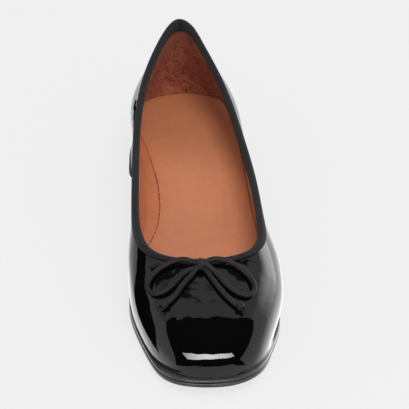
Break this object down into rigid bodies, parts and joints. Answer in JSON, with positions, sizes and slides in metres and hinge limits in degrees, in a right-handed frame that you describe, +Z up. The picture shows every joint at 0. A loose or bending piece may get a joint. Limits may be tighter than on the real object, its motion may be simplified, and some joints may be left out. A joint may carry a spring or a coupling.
{
  "type": "ballet flat",
  "caption": "Left black patent ballet flat: hollow low-cut upper, bound collar with a cord bow, tan insole, two-layer sole with arch and toe spring, low heel.",
  "frame": {"origin": "on the floor under the middle of the shoe's box", "axes": "+Z up, toe towards -Y and heel towards +Y, outer (lateral) side towards +X"},
  "size_m": [0.087, 0.2512, 0.0759],
  "materials": {
    "patent_leather": "black patent, high gloss",
    "grosgrain_tape": "ribbed woven tape, matt",
    "bow_cord": "round braided cord, soft sheen",
    "sock_leather": "smooth tan lining leather, satin",
    "sole_edge": "black edge-dressed, half gloss",
    "outsole_rubber": "black, fine matt grain",
    "heel_lacquer": "black lacquer",
    "top_lift_rubber": "black matt"
  },
  "bodies": {
    "root": {"upper": "patent_leather", "binding": "grosgrain_tape", "insole": "sock_leather", "midsole": "sole_edge", "outsole": "outsole_rubber", "heel_block": "heel_lacquer", "top_lift": "top_lift_rubber", "bow_knot": "bow_cord", "bow_loop_outer": "bow_cord", "bow_loop_inner": "bow_cord", "bow_end_outer": "bow_cord", "bow_end_inner": "bow_cord", "bow_tip_outer": "bow_cord", "bow_tip_inner": "bow_cord"}
  },
  "joints": []
}
